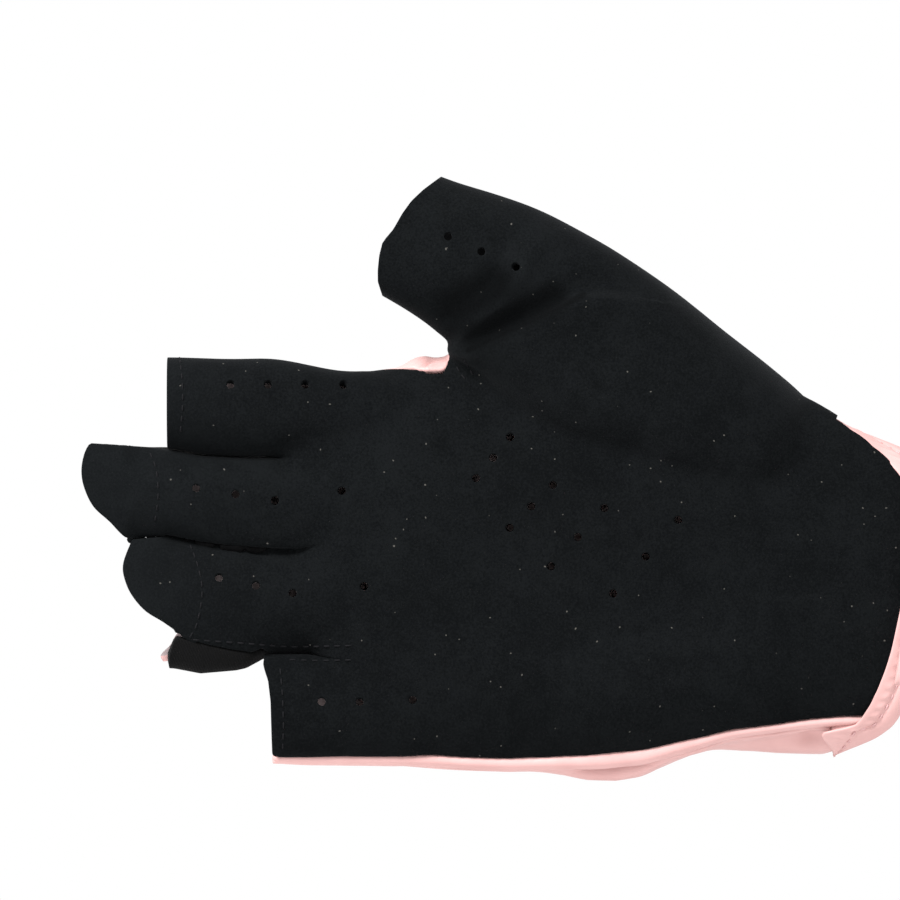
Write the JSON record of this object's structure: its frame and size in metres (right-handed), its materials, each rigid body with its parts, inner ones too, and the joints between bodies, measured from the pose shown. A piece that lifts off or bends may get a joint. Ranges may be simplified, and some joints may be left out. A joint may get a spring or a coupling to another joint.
{
  "type": "weightlifting glove",
  "caption": "Half-finger weightlifting glove, right hand, as worn: pierced black suede palm, pink back, side strip, wrist band and closing strap.",
  "frame": {"origin": "middle of the wrist opening, where the hand goes in", "axes": "-X towards the fingertips, +Z towards the thumb, -Y out of the palm"},
  "size_m": [0.1818, 0.0434, 0.1179],
  "materials": {
    "black_suede": "soft matt suede with a short nap",
    "pink_leather": "smooth soft synthetic leather, slightly satin",
    "rib_knit": "fine matt ribbed knit"
  },
  "bodies": {
    "root": {"palm_panel": "black_suede", "thumb_back": "black_suede", "back_panel": "pink_leather", "gusset_index_middle": "rib_knit", "gusset_middle_ring": "rib_knit", "gusset_ring_little": "rib_knit", "pull_tab_middle": "black_suede", "pull_tab_ring": "black_suede", "side_piping": "pink_leather", "wrist_band": "pink_leather", "wrist_strap": "pink_leather"}
  },
  "joints": []
}
